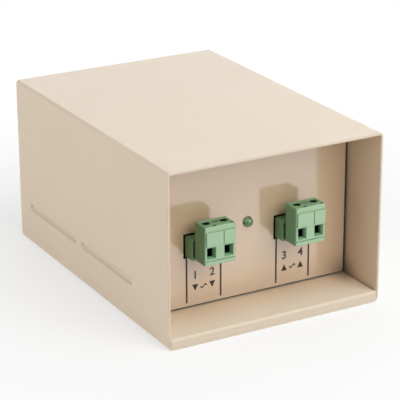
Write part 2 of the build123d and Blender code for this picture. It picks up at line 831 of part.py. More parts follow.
def bobbin_tags():
    """Solder tags pressed into the flanges."""
    tag = Rectangle(tag_size, tag_size)
    return [from_front(Pos(*place) * tag, flange_front - tag_out, tag_out + tag_in) for place in tag_places()]


def transformer_strap():
    """Steel strap over the core, with a foot bent out at each side."""
    top = core_top + strap_clearance
    outer = span(-strap_outer, strap_outer, floor_top, top + strap_sheet)
    outer = fillet(outer.vertices().group_by(Axis.Y)[-1], strap_bend_inside + strap_sheet)
    inner = span(-strap_inner, strap_inner, floor_top, top)
    inner = fillet(inner.vertices().group_by(Axis.Y)[-1], strap_bend_inside)
    section = outer - inner
    section += span(-foot_end, -strap_inner, floor_top, floor_top + strap_sheet)
    section += span(strap_inner, foot_end, floor_top, floor_top + strap_sheet)
    strap = from_front(section, transformer_setback - strap_width / 2, strap_width)
    for x in (-foot_hole, foot_hole):
        bore = Pos(x, transformer_setback) * Circle(transformer_screw_radius + transformer_hole_clearance)
        strap -= from_above(bore, floor_top, strap_sheet)
    return strap


def transformer_screws():
    """Low-headed screws up through the tray and the strap's feet."""
    top = floor_top + strap_sheet + nut_height + transformer_screw_proud
    low = floor_under - transformer_head_height
    outline = [(0, low), (transformer_head_radius, low), (transformer_head_radius, floor_under),
               (transformer_screw_radius, floor_under), (transformer_screw_radius, top), (0, top)]
    return [turned_upright(outline, x, transformer_setback) for x in (-foot_hole, foot_hole)]


def transformer_nuts():
    """Hexagon nuts on the strap's feet."""
    section = hexagon(nut_across_flats) - Circle(transformer_screw_radius + screw_clearance)
    bottom = floor_top + strap_sheet
    places = [Pos(x, transformer_setback) for x in (-foot_hole, foot_hole)]
    return [from_above(place * section, bottom, nut_height) for place in places]


def transformer_lead(tag, board_x, board_height):
    """Insulated wire from a solder tag to the back of the terminal board."""
    start = Vector(tag[0], front + flange_front - tag_out, tag[1])
    end = Vector(board_x, front + terminal_back, board_height)
    straight = Vector(0, wire_straight, 0)
    path = FilletPolyline(start, start - straight, end + straight, end, radius=wire_bend)
    section = Plane(origin=start, z_dir=(0, -1, 0)) * RegularPolygon(wire_radius, wire_sides)
    return sweep(section, path)


def transformer_leads():
    """The four leads by name: two to the input's side of the board, two to the output's."""
    low_left, low_right, high_left, high_right = tag_places()
    half = wire_board_spacing / 2
    primary = primary_board_height
    secondary = secondary_board_height
    return {
        "primary_lead_left": transformer_lead(low_left, primary_board_x - half, primary),
        "primary_lead_right": transformer_lead(low_right, primary_board_x + half, primary),
        "secondary_lead_left": transformer_lead(high_left, secondary_board_x - half, secondary),
        "secondary_lead_right": transformer_lead(high_right, secondary_board_x + half, secondary),
    }


def all_pieces():
    """Every piece of the supply by its node's name."""
    pieces = {
        "case_sleeve": case_sleeve(),
        "chassis": chassis(),
        "chassis_standoffs": chassis_standoffs(),
        "case_screws": case_screws(),
        "panel_board": panel_board(),
        "panel_overlay": panel_overlay(),
        "panel_screws": flush_screws(panel_screw_places(), panel_screw_length),
        "spacer_front_screws": flush_screws(spacer_places(), panel_board_thickness + spacer_screw_reach),
        "board_spacers": board_spacers(),
        "spacer_rear_screws": spacer_rear_screws(),
        "terminal_board": terminal_board(),
        "led_lens": led_lens(),
        "led_spacer": led_spacer(),
        "led_leads": led_leads(),
        "led_resistor": led_resistor(),
        "led_diode": led_diode(),
        "component_leads": component_leads(),
        "fuse_tube": fuse_tube(),
        "fuse_caps": fuse_caps(),
        "fuse_wire": fuse_wire(),
        "fuse_clips": fuse_clips(),
        "core_e": core_e(),
        "core_i": core_i(),
        "bobbin": bobbin(),
        "primary_winding": winding(0),
        "secondary_winding": winding(1),
        "primary_tape": winding_tape(0),
        "secondary_tape": winding_tape(1),
        "bobbin_tags": bobbin_tags(),
        "transformer_strap": transformer_strap(),
        "transformer_screws": transformer_screws(),
        "transformer_nuts": transformer_nuts(),
    }
    for name, x in terminals.items():
        pieces[name + "_header"] = header(x)
        pieces[name + "_pins"] = header_pins(x)
        pieces[name + "_plug"] = plug(x)
        pieces[name + "_contacts"] = plug_contacts(x)
        for side, offset in pole_sides.items():
            pieces[name + "_screw_" + side] = terminal_screw(x + offset)
            pieces[name + "_clamp_" + side] = wire_clamp(x + offset)
    pieces.update(transformer_leads())
    return pieces


os.makedirs("parts", exist_ok=True)
for node, piece in all_pieces().items():
    shape = Compound(children=piece) if isinstance(piece, list) else piece
    export_step(shape, "parts/" + node + ".step")
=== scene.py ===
import math

import bmesh
import bpy
from mathutils import Matrix, Vector


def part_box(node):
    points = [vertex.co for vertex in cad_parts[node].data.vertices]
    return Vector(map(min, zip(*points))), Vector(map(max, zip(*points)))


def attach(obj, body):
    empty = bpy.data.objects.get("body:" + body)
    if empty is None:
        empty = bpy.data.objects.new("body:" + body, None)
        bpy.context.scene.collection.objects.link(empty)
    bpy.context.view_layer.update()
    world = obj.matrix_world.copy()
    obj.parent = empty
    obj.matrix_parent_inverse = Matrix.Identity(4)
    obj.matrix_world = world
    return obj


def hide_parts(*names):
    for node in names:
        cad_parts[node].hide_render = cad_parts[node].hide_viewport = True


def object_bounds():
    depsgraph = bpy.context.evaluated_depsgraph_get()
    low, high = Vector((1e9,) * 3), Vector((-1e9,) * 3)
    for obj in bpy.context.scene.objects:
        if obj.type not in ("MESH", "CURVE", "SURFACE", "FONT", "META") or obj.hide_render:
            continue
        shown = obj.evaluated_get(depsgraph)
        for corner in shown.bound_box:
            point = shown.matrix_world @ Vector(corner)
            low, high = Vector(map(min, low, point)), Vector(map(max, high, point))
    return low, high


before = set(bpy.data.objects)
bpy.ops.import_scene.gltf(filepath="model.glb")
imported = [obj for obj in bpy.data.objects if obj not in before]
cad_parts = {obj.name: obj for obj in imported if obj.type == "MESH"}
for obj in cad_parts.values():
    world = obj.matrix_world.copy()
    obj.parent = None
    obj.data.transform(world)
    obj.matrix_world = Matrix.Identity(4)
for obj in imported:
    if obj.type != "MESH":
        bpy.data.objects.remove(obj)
cad_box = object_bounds()

# Chassis: the tray that carries everything, folded from steel sheet with a rolled lip at the front. Its satin
# beige powder coat, which the sleeve has too, is painted paler at the recess's mouth as painted light, and
# darker as painted shade towards the recess's back, on the front cut edges, on the lip's face, in the
# sleeve's beads and in the recess's back corners.


class Flow:
    """One shader socket. Arithmetic on it adds the Math nodes, and node() adds a node of any other kind."""

    def __init__(self, socket):
        self.socket = socket

    def node(self, kind, settings, sockets, result=0):
        """Add a node to this socket's tree: its settings first, then the values or links of its sockets."""
        tree = self.socket.id_data
        node = tree.nodes.new(kind)
        for setting, value in settings.items():
            setattr(node, setting, value)
        for socket, value in sockets.items():
            if isinstance(value, Flow):
                tree.links.new(value.socket, node.inputs[socket])
            else:
                node.inputs[socket].default_value = value
        return Flow(node.outputs[result])

    def maths(self, operation, *values):
        return self.node("ShaderNodeMath", {"operation": operation}, dict(enumerate(values)))

    def __add__(self, other):
        return self.maths("ADD", self, other)

    __radd__ = __add__

    def __sub__(self, other):
        return self.maths("SUBTRACT", self, other)

    def __rsub__(self, other):
        return self.maths("SUBTRACT", other, self)

    def __mul__(self, other):
        return self.maths("MULTIPLY", self, other)

    __rmul__ = __mul__

    def __truediv__(self, other):
        return self.maths("DIVIDE", self, other)

    def __rtruediv__(self, other):
        return self.maths("DIVIDE", other, self)

    def __mod__(self, other):
        return self.maths("FLOORED_MODULO", self, other)

    def __rmod__(self, other):
        return self.maths("FLOORED_MODULO", other, self)

    def __gt__(self, other):
        return self.maths("GREATER_THAN", self, other)

    def __lt__(self, other):
        return self.maths("LESS_THAN", self, other)

    def __abs__(self):
        return self.maths("ABSOLUTE", self)

    def tint(self, low, high):
        """A colour that goes from low to high as this value goes from 0 to 1."""
        low_socket, high_socket, colour_socket = 6, 7, 2
        colours = {"Factor": self, low_socket: low, high_socket: high}
        return self.node("ShaderNodeMix", {"data_type": "RGBA"}, colours, result=colour_socket)

    def clouds(self, size, detail=2):
        """Soft random values about 0.5, for a place, that change over about one size in metres."""
        return self.node("ShaderNodeTexNoise", {}, {"Vector": self, "Scale": 1 / size, "Detail": detail})

    def axes(self):
        """The three separate coordinates of a place."""
        apart = self.node("ShaderNodeSeparateXYZ", {}, {"Vector": self}).socket.node
        return [Flow(output) for output in apart.outputs]

    def fade(self, start, end):
        """A smooth change from 0 to 1 as this value goes from start to end."""
        reach = {"Value": self, "From Min": start, "From Max": end}
        return self.node("ShaderNodeMapRange", {"interpolation_type": "SMOOTHSTEP"}, reach)

    def relief(self, depth):
        """A normal for a surface that rises by depth, in metres, as this value goes from 0 to 1."""
        return self.node("ShaderNodeBump", {}, {"Strength": 1, "Distance": depth, "Height": self})


def new_finish(name, **fixed):
    """A material, its shader with the values that are the same all over, and a place on the piece."""
    material = bpy.data.materials.new(name)
    material.use_nodes = True
    shader = material.node_tree.nodes["Principled BSDF"]
    for socket, value in fixed.items():
        shader.inputs[socket.replace("_", " ")].default_value = value
    place = Flow(material.node_tree.nodes.new("ShaderNodeTexCoord").outputs["Object"])
    return material, shader, place


def feed(shader, **varying):
    """Link what changes over the surface to the shader."""
    for socket, value in varying.items():
        shader.id_data.links.new(value.socket, shader.inputs[socket.replace("_", " ")])


def dress(finish, *names):
    """Give CAD nodes a finish in place of the plain one that they came with."""
    for name in names:
        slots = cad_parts[name].data.materials
        slots.clear()
        slots.append(finish)


mm = 0.001
paint_full = (0.628, 0.520, 0.396, 1)
paint_thin = (0.606, 0.495, 0.368, 1)
# painted light: the recess's walls and floor are paler at its mouth
painted_light_wall = (0.672, 0.532, 0.388, 1)
painted_light_floor = (0.715, 0.625, 0.505, 1)
# painted shade: darker, warmer paint towards the back of the recess
painted_shade_deep = (0.600, 0.455, 0.315, 1)
# painted shade: the lip's face is darker so that it reads no brighter than the floor
painted_shade_lip = (0.562, 0.474, 0.366, 1)
# painted shade: the front cut edges are darker to damp their highlight
painted_shade_edge = (0.550, 0.456, 0.348, 1)
# painted shade: the recess's back corners and the panel's foot are darker
painted_shade_corner = (0.300, 0.215, 0.145, 1)
# painted shade in the sleeve's beads
painted_shade_bead = (0.560, 0.455, 0.338, 1)
bead_middle, bead_half_height = 16.9 * mm, 2.2 * mm
bead_row_middle, bead_row_half = 9.7 * mm, 47.2 * mm
bead_rim, bead_bed = 0.05 * mm, 0.5 * mm
floor_top = 4.6 * mm
lip_bend = 2.0 * mm
half_sheet = 0.5 * mm
wall = cad_box[1].x - 2 * half_sheet
edge_break = 0.3 * mm
corner_reach = 11 * mm
recess_front, recess_back = cad_box[0].y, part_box("panel_overlay")[1].y
paint_drift = 28 * mm
sheen_drift = 6 * mm
paint_rough, paint_rough_drift = 0.42, 0.10
peel_ripple, peel_depth = 1.5 * mm, 0.016 * mm
grit_size, grit_depth = 0.35 * mm, 0.002 * mm


def near_corner(x, z):
    """How near a place in the recess is to a side wall and to the floor, each from 0 to 1."""
    to_wall = abs(x).fade(wall - corner_reach, wall)
    to_floor = 1 - z.fade(floor_top, floor_top + corner_reach)
    return to_wall, to_floor


powder_coat, shader, place = new_finish("powder_coat", IOR=1.5)
peel = place.clouds(peel_ripple) * peel_depth + place.clouds(grit_size) * grit_depth
x, y, z = place.axes()
bead_row = (abs(z - bead_middle) < bead_half_height) * (abs(y - bead_row_middle) < bead_row_half)
# Painted shade in the hollows of the beads
in_bead = bead_row * (cad_box[1].x - abs(x)).fade(bead_rim, bead_bed)
outer_paint = in_bead.tint(place.clouds(paint_drift).tint(paint_thin, paint_full), painted_shade_bead)
above_floor = z > floor_top - edge_break
# Painted shade on the lip's face
on_lip = (1 - above_floor) * (y < recess_front + lip_bend)
# Painted shade on the front cut edges
on_edge = above_floor * (y < recess_front + edge_break)
front_paint = on_edge.tint(on_lip.tint(outer_paint, painted_shade_lip), painted_shade_edge)
# Painted light at the recess's mouth, fading to painted shade towards its back
painted_light_at_mouth = (z < floor_top + edge_break).tint(painted_light_wall, painted_light_floor)
to_wall, to_floor = near_corner(x, z)
to_back = y.fade(recess_back - corner_reach, recess_back)
painted_recess_shading = y.fade(recess_front, recess_back).tint(painted_light_at_mouth, painted_shade_deep)
# Painted shade in the recess's back corners
painted_recess_shading = (to_back * to_wall * to_floor).tint(painted_recess_shading, painted_shade_corner)
inside = (abs(x) < wall + half_sheet) * (z < cad_box[1].z - half_sheet) * above_floor * (y < recess_back)
in_recess = inside * y.fade(recess_front, recess_front + lip_bend)
feed(shader,
     Base_Color=in_recess.tint(front_paint, painted_recess_shading),
     Roughness=paint_rough + paint_rough_drift * place.clouds(sheen_drift),
     Normal=peel.relief(1))
dress(powder_coat, "chassis")

# Plated steel hardware: the weld nuts under the tray, the transformer's strap, screws and nuts, the hexagon
# spacers, and the screws of the boards and the case. It is mild steel, turned or stamped, with a thin bright
# zinc plating whose pale passivated skin clouds its shine.


def feed_skin(shader, place, rough, rough_drift, sheen, grain, grain_depth, grain_detail=2):
    """Link a shine that drifts over the surface, and a grain that stands up by a depth, to the shader."""
    feed(shader,
         Roughness=rough + rough_drift * place.clouds(sheen),
         Normal=place.clouds(grain, grain_detail).relief(grain_depth))


def even_finish(name, colour, shade, blotch, rough, rough_drift, sheen, grain, grain_depth, grain_detail=2,
                **fixed):
    """A finish with no marks on it: soft blotches of two shades, and a skin."""
    finish, shader, place = new_finish(name, **fixed)
    feed(shader, Base_Color=place.clouds(blotch).tint(shade, colour))
    feed_skin(shader, place, rough, rough_drift, sheen, grain, grain_depth, grain_detail)
    return finish


zinc = even_finish("zinc_plating", colour=(0.66, 0.66, 0.64, 1), shade=(0.50, 0.51, 0.50, 1), blotch=2.2 * mm,
                   rough=0.24, rough_drift=0.22, sheen=1.1 * mm, grain=0.25 * mm, grain_depth=0.002 * mm,
                   Metallic=1)
dress(zinc, "chassis_standoffs", "transformer_strap", "transformer_screws", "transformer_nuts",
      "board_spacers", "spacer_front_screws", "spacer_rear_screws", "panel_screws")

# Transformer core: E and I laminations of silicon steel, punched, stacked and dipped in dark varnish.
# The sheets' edges show as fine lines on the sides of the stack.
lamination, sheet_groove = 0.5 * mm, 0.05 * mm
varnish_dark = (0.035, 0.033, 0.031, 1)
varnish_edge = (0.110, 0.102, 0.094, 1)
varnish_blotch, varnish_sheen = 1.5 * mm, 3 * mm
varnish_rough, varnish_rough_drift = 0.34, 0.20
crown_share = 0.6


def crowned(along, pitch):
    """A row of crowns: 1 in the middle of each pitch, 0 where two of them meet."""
    return 1 - abs(2 * ((along % pitch) / pitch) - 1)


core_varnish, shader, place = new_finish("core_varnish", Metallic=0.35)
sheets = crowned(place.axes()[1], lamination)
edge_shade = sheets * crown_share + place.clouds(varnish_blotch) * (1 - crown_share)
feed(shader,
     Base_Color=edge_shade.tint(varnish_dark, varnish_edge),
     Roughness=varnish_rough + varnish_rough_drift * place.clouds(varnish_sheen),
     Normal=sheets.relief(sheet_groove))
dress(core_varnish, "core_e", "core_i")

# Bobbin and windings: a black glass-filled nylon bobbin in two chambers, enamelled copper wire wound in
# layers, and yellow polyester tape over each winding. The tinned tags are pressed into the bobbin, and the
# leads, pins and contacts of the boards and plugs have the same tin on them.
bobbin_nylon = even_finish("bobbin_nylon", colour=(0.022, 0.022, 0.023, 1), shade=(0.013, 0.013, 0.014, 1),
                           blotch=4 * mm, rough=0.44, rough_drift=0.12, sheen=4 / 3 * mm, grain=0.4 * mm,
                           grain_depth=0.01 * mm)
dress(bobbin_nylon, "bobbin")

copper_crown = (0.56, 0.21, 0.08, 1)
copper_groove = (0.22, 0.07, 0.03, 1)
wire_pitch, wire_groove = 0.45 * mm, 0.1 * mm
enamel_rough, enamel_rough_drift, enamel_sheen = 0.26, 0.16, 1 * mm
copper_enamel, shader, place = new_finish("copper_enamel", Metallic=1, Coat_Weight=0.5)
turns = crowned(place.axes()[2], wire_pitch)
feed(shader,
     Base_Color=turns.tint(copper_groove, copper_crown),
     Roughness=enamel_rough + enamel_rough_drift * place.clouds(enamel_sheen),
     Normal=turns.relief(wire_groove))
dress(copper_enamel, "primary_winding", "secondary_winding", "fuse_wire")

winding_tape = even_finish("winding_tape", colour=(0.72, 0.50, 0.07, 1), shade=(0.62, 0.40, 0.05, 1),
                           blotch=5 * mm, rough=0.19, rough_drift=0.12, sheen=5 / 3 * mm, grain=1.2 * mm,
                           grain_depth=0.02 * mm)
dress(winding_tape, "primary_tape", "secondary_tape")

tinned = even_finish("tin_plating", colour=(0.74, 0.72, 0.68, 1), shade=(0.55, 0.54, 0.51, 1), blotch=1 * mm,
                     rough=0.22, rough_drift=0.20, sheen=0.5 * mm, grain=0.2 * mm, grain_depth=0.002 * mm,
                     Metallic=1)
dress(tinned, "bobbin_tags", "component_leads", "led_leads", "output_pins", "input_pins",
      "output_contacts", "input_contacts")

# Boards: glass-fibre laminate with green solder mask on both faces. The mask is smooth and a little glossy,
# copper tracks show through it as paler bands, and the sawn edge is painted near black, as shade.
mask_green = (0.008, 0.025, 0.015, 1)
track_green = (0.016, 0.048, 0.028, 1)
# painted shade: the board's edge is near black, as in the gap round the panel
painted_shade_board_edge = (0.010, 0.014, 0.010, 1)
track_pitch, track_width, track_height = 6 * mm, 1.8 * mm, 0.03 * mm
track_area, bare_share = 14 * mm, 0.5
track_strength = 0.8
mask_blotch, mask_sheen = 3 * mm, 1 * mm
mask_ripple, ripple_share = 0.3 * mm, 0.15
mask_rough, edge_rough, board_rough_drift = 0.38, 0.58, 0.10
facing_limit = 0.5


def facing(place):
    """The direction that the surface faces, as its shares along the three axes."""
    return place.node("ShaderNodeNewGeometry", {}, {}, result="Normal").axes()


board_mask, shader, place = new_finish("board_mask", IOR=1.5)
on_face = abs(facing(place)[1]) > facing_limit
track = ((place.axes()[0] % track_pitch) < track_width) * (place.clouds(track_area, detail=0) > bare_share)
face_shade = track * track_strength + place.clouds(mask_blotch) * (1 - track_strength)
face_rough = edge_rough - (edge_rough - mask_rough) * on_face
feed(shader,
     Base_Color=on_face.tint(painted_shade_board_edge, face_shade.tint(mask_green, track_green)),
     Roughness=face_rough + board_rough_drift * place.clouds(mask_sheen),
     Normal=(track + ripple_share * place.clouds(mask_ripple)).relief(track_height))
dress(board_mask, "terminal_board", "panel_board")

# Parts on the back of the terminal board: a cartridge fuse of glass and nickel-plated caps in spring clips,
# a lacquered resistor with its painted rings, a moulded diode with its one pale ring, and insulated leads.
glass_tinge = (0.90, 0.94, 0.92, 1)
glass_clear = (0.96, 0.98, 0.97, 1)
glass_cloud, glass_sheen = 3 * mm, 2 * mm
glass_rough, glass_rough_drift = 0.02, 0.05
fuse_glass, shader, place = new_finish("fuse_glass", Transmission_Weight=1, IOR=1.5)
feed(shader,
     Base_Color=place.clouds(glass_cloud).tint(glass_tinge, glass_clear),
     Roughness=glass_rough + glass_rough_drift * place.clouds(glass_sheen))
dress(fuse_glass, "fuse_tube")

nickel = even_finish("nickel_plating", colour=(0.74, 0.71, 0.65, 1), shade=(0.62, 0.59, 0.53, 1),
                     blotch=2 * mm, rough=0.16, rough_drift=0.18, sheen=1 * mm, grain=0.3 * mm,
                     grain_depth=0.002 * mm, Metallic=1)
dress(nickel, "fuse_caps", "fuse_clips")

lacquer_dark = (0.55, 0.40, 0.22, 1)
lacquer_pale = (0.66, 0.50, 0.29, 1)
lacquer_blotch = 1 * mm
ring_brown = (0.20, 0.06, 0.02, 1)
ring_black = (0.02, 0.02, 0.02, 1)
ring_red = (0.55, 0.03, 0.02, 1)
ring_gold = (0.55, 0.36, 0.06, 1)
ring_width = 0.55 * mm
rings = [(-2.2 * mm, ring_brown), (-0.9 * mm, ring_black), (0.3 * mm, ring_red), (2.2 * mm, ring_gold)]
resistor_lacquer, shader, place = new_finish("resistor_lacquer", IOR=1.5)
along = place.axes()[0]
lacquer = place.clouds(lacquer_blotch).tint(lacquer_dark, lacquer_pale)
for ring_place, ring_colour in rings:
    lacquer = (abs(along - ring_place) < ring_width / 2).tint(lacquer, ring_colour)
feed(shader, Base_Color=lacquer)
feed_skin(shader, place, rough=0.28, rough_drift=0.12, sheen=0.8 * mm, grain=0.6 * mm, grain_depth=0.01 * mm)
dress(resistor_lacquer, "led_resistor")

diode_black = (0.018, 0.018, 0.018, 1)
diode_pale = (0.52, 0.52, 0.50, 1)
pale_ring_place, pale_ring_width = 1.6 * mm, 0.9 * mm
diode_epoxy, shader, place = new_finish("diode_epoxy", IOR=1.5)
on_pale_ring = abs(place.axes()[0] - pale_ring_place) < pale_ring_width / 2
feed(shader, Base_Color=on_pale_ring.tint(diode_black, diode_pale))
feed_skin(shader, place, rough=0.42, rough_drift=0.16, sheen=0.6 * mm, grain=0.2 * mm, grain_depth=0.006 * mm)
dress(diode_epoxy, "led_diode")


def insulation(name, colour, shade):
    """The soft coat of an insulated wire."""
    return even_finish(name, colour, shade, blotch=6 * mm, rough=0.34, rough_drift=0.12, sheen=2 * mm,
                       grain=0.5 * mm, grain_depth=0.008 * mm)


black_coat = insulation("black_insulation", colour=(0.020, 0.020, 0.021, 1), shade=(0.012, 0.012, 0.012, 1))
yellow_coat = insulation("yellow_insulation", colour=(0.70, 0.50, 0.05, 1), shade=(0.60, 0.41, 0.04, 1))
dress(black_coat, "primary_lead_left", "primary_lead_right")
dress(yellow_coat, "secondary_lead_left", "secondary_lead_right")

# Lamp: a green tinted epoxy dome cast round the ends of its two leads. Inside it one lead ends in a wide
# stamped anvil with a cup for the chip, the other in a slim post. A nylon collar holds it off the board.
lamp_low, lamp_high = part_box("led_lens")
lamp_middle = (lamp_low + lamp_high) / 2
lamp_back = Vector((lamp_middle.x, lamp_high.y, lamp_middle.z))
stamping_thickness = 0.45 * mm
anvil_outline = [(1.52, 0.0), (1.52, 1.5), (0.75, 2.4), (0.75, 3.0), (0.45, 3.0), (0.25, 2.7), (-0.25, 2.7),
                 (-0.45, 3.0), (-0.62, 3.0), (-0.62, 2.4), (1.02, 1.2), (1.02, 0.0)]
post_outline = [(-1.52, 0.0), (-1.02, 0.0), (-1.02, 2.2), (-0.85, 2.8), (-1.15, 3.0), (-1.52, 2.6)]
right, forward, up = Vector((1, 0, 0)), Vector((0, -1, 0)), Vector((0, 0, 1))


def plate_mesh(name, outline, place, across, along, thickness):
    """A flat plate of a thickness, its outline measured across and along from a place."""
    build = bmesh.new()
    side = across.cross(along).normalized() * thickness
    corners = [build.verts.new(place + across * u + along * v - side / 2) for u, v in outline]
    face = build.faces.new(corners)
    grown = bmesh.ops.extrude_face_region(build, geom=[face])["geom"]
    raised = [part for part in grown if isinstance(part, bmesh.types.BMVert)]
    bmesh.ops.translate(build, verts=raised, vec=side)
    bmesh.ops.recalc_face_normals(build, faces=build.faces)
    mesh = bpy.data.meshes.new(name)
    build.to_mesh(mesh)
    build.free()
    return mesh


def fit_piece(name, mesh, finish, body):
    """Put a new mesh in the scene with its finish, and fix it to the body that carries it."""
    piece = bpy.data.objects.new(name, mesh)
    bpy.context.scene.collection.objects.link(piece)
    mesh.materials.append(finish)
    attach(piece, body)
    return piece


for name, outline in (("lamp_anvil", anvil_outline), ("lamp_post", post_outline)):
    in_metres = [(u * mm, v * mm) for u, v in outline]
    stamping = plate_mesh(name, in_metres, lamp_back, right, forward, stamping_thickness)
    fit_piece(name, stamping, tinned, "case")

lamp_epoxy = even_finish("lamp_epoxy", colour=(0.42, 0.80, 0.46, 1), shade=(0.28, 0.66, 0.32, 1),
                         blotch=1.5 * mm, rough=0.03, rough_drift=0.05, sheen=1 * mm, grain=0.8 * mm,
                         grain_depth=0.004 * mm, Transmission_Weight=0.76, IOR=1.54)
dress(lamp_epoxy, "led_lens")

collar_nylon = even_finish("collar_nylon", colour=(0.78, 0.77, 0.73, 1), shade=(0.72, 0.71, 0.66, 1),
                           blotch=2 * mm, rough=0.44, rough_drift=0.12, sheen=2 / 3 * mm, grain=0.3 * mm,
                           grain_depth=0.005 * mm)
dress(collar_nylon, "led_spacer")

# Headers: green polyamide shrouds round two square pins, soldered to the terminal board. They stand out
# through the panel's openings, a shade deeper in colour than the plugs that push into them. Behind the
# panel they are painted near black, as shade.
header_green = (0.165, 0.290, 0.155, 1)
header_shade = (0.145, 0.262, 0.136, 1)
# painted shade: near black behind the panel, where the gap round the header is dark
painted_shade_header_rear = (0.014, 0.016, 0.012, 1)
header_blotch = 3 * mm
panel_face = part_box("panel_overlay")[0].y

header_polyamide, shader, place = new_finish("header_polyamide", Specular_IOR_Level=0.06)
# Painted shade on the part of the header behind the panel's face
header_behind_panel = place.axes()[1] > panel_face
header_own_green = place.clouds(header_blotch).tint(header_shade, header_green)
feed(shader, Base_Color=header_behind_panel.tint(header_own_green, painted_shade_header_rear))
feed_skin(shader, place, rough=0.44, rough_drift=0.12, sheen=1 * mm, grain=0.25 * mm, grain_depth=0.006 * mm)
dress(header_polyamide, "output_header", "input_header")

# Panel overlay: a polycarbonate sheet, glossy in front and printed beige behind, stuck to the panel board.
# Its face mirrors the plugs and the floor in front of it, a little wavily, as a thin sheet on glue does.
# It is darker along its foot, most of all in the corners, as painted shade.
overlay_beige = (0.530, 0.386, 0.256, 1)
overlay_drift = (0.500, 0.360, 0.236, 1)
# painted shade along the panel's foot: its share away from the corners
painted_shade_foot_share = 0.35
print_drift = 20 * mm
glue_wave, glue_wave_depth = 16 * mm, 0.012 * mm

overlay_film, shader, place = new_finish("overlay_film", IOR=2.4)
x, _, z = place.axes()
to_wall, to_floor = near_corner(x, z)
# Painted shade along the foot of the panel, deepest in its corners
painted_shade_at_foot = to_floor * (painted_shade_foot_share + (1 - painted_shade_foot_share) * to_wall)
overlay_own_beige = place.clouds(print_drift).tint(overlay_drift, overlay_beige)
feed(shader, Base_Color=painted_shade_at_foot.tint(overlay_own_beige, painted_shade_corner))
feed_skin(shader, place, rough=0.10, rough_drift=0.06, sheen=5 * mm, grain=glue_wave,
          grain_depth=glue_wave_depth, grain_detail=1)
dress(overlay_film, "panel_overlay")

# Print on the overlay: four upright lines that lead down from the headers' edges, and between each pair a
# row of plain pole numbers and a row of signs. It is screen printed ink, a hair proud of the sheet, and the
# screen lay half a millimetre to the right of the openings.
ink_proud = 0.012 * mm
print_shift = 0.52 * mm
line_width = 0.75 * mm
line_low = 6.8 * mm
number_middle, number_size = 17.7 * mm, 4.6 * mm
number_weight = 0.12 * mm
sign_middle, sign_size = 12.6 * mm, 2.7 * mm
wave_half, wave_rise, wave_stroke, wave_steps = 1.5 * mm, 0.55 * mm, 0.64 * mm, 6
pole_pitch = 7.5 * mm


def ink(name, colour, shade):
    """A printed ink, duller than the sheet that it is on."""
    return even_finish(name, colour, shade, blotch=0.4 * mm, rough=0.36, rough_drift=0.10, sheen=1 * mm,
                       grain=glue_wave, grain_depth=glue_wave_depth, grain_detail=1, IOR=1.4)


line_ink = ink("line_ink", colour=(0.036, 0.026, 0.020, 1), shade=(0.026, 0.019, 0.015, 1))
number_ink = ink("number_ink", colour=(0.060, 0.048, 0.040, 1), shade=(0.046, 0.037, 0.031, 1))
sign_ink = ink("sign_ink", colour=(0.024, 0.019, 0.016, 1), shade=(0.017, 0.013, 0.011, 1))


def printed_shape(name, x, z, outline, finish):
    """A flat printed shape, its outline measured from a point of the panel's face."""
    place = Vector((x, panel_face - ink_proud / 2, z))
    mesh = plate_mesh(name, outline, place, right, up, ink_proud)
    fit_piece(name, mesh, finish, "case")


def printed_text(name, x, z, text, size, finish):
    """Printed characters centred on a point of the panel's face."""
    letters = bpy.data.curves.new(name, "FONT")
    letters.body = text
    letters.size = size
    letters.offset = number_weight
    letters.align_x, letters.align_y = "CENTER", "CENTER"
    letters.extrude = ink_proud / 2
    holder = bpy.data.objects.new(name + "_letters", letters)
    mesh = bpy.data.meshes.new_from_object(holder)
    mesh.name = name
    bpy.data.objects.remove(holder)
    upright = Matrix.Translation((x, panel_face - ink_proud / 2, z)) @ Matrix.Rotation(math.pi / 2, 4, "X")
    mesh.transform(upright)
    fit_piece(name, mesh, finish, "case")


steps = [n / wave_steps for n in range(-wave_steps, wave_steps + 1)]
wave = [(wave_half * step, wave_rise * math.sin(math.pi * step)) for step in steps]
wave_upper = [(u, v + wave_stroke / 2) for u, v in wave]
wave_lower = [(u, v - wave_stroke / 2) for u, v in reversed(wave)]
for terminal, numbers, tip in (("output", "12", -1), ("input", "34", 1)):
    low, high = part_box(terminal + "_header")
    middle = (low.x + high.x) / 2 + print_shift
    drop, half_line = low.z - line_low, line_width / 2
    line = [(-half_line, 0), (half_line, 0), (half_line, drop), (-half_line, drop)]
    for side, x in (("left", low.x + print_shift), ("right", high.x + print_shift)):
        printed_shape(f"{terminal}_line_{side}", x, line_low, line, line_ink)
    printed_shape(f"{terminal}_sign_wave", middle, sign_middle, wave_upper + wave_lower, sign_ink)
    half_sign = sign_size / 2
    arrow = [(-half_sign, -tip * half_sign), (half_sign, -tip * half_sign), (0, tip * half_sign)]
    for pole, x in zip(numbers, (middle - pole_pitch / 2, middle + pole_pitch / 2)):
        printed_text(f"{terminal}_number_{pole}", x, number_middle, pole, number_size, number_ink)
        printed_shape(f"{terminal}_sign_{pole}", x, sign_middle, arrow, sign_ink)

# Plugs: green polyamide blocks moulded with funnels for two wires and holes for two screws. Their fronts are
# painted lighter as painted light, their sides darker, and holes, notches and the gap behind near black, as
# shade.
# Inside, each wire has a screw and a rising clamp of steel, near black as painted shade, on bodies of their
# own.
plug_green = (0.208, 0.384, 0.218, 1)
plug_shade = (0.190, 0.354, 0.198, 1)
# painted light: the fronts of the plugs are paler
painted_light_front_green = (0.328, 0.466, 0.310, 1)
painted_light_front_dim = (0.306, 0.440, 0.288, 1)
# painted shade: the sides of the plugs are darker
painted_shade_side_green = (0.176, 0.326, 0.184, 1)
painted_shade_side_dim = (0.162, 0.302, 0.170, 1)
# painted shade: near black in the screw holes, the notches and the gap behind each plug
painted_shade_hollows = (0.020, 0.022, 0.017, 1)
plug_blotch = 4 * mm
screw_hole_radius, hole_shade_margin = 1.8 * mm, 0.35 * mm
notch_setback, notch_sink = 1.6 * mm, 1 * mm
notch_half_width, notch_half_depth = 0.6 * mm, 0.45 * mm
header_rim, gap_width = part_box("output_header")[0].y, 0.9 * mm

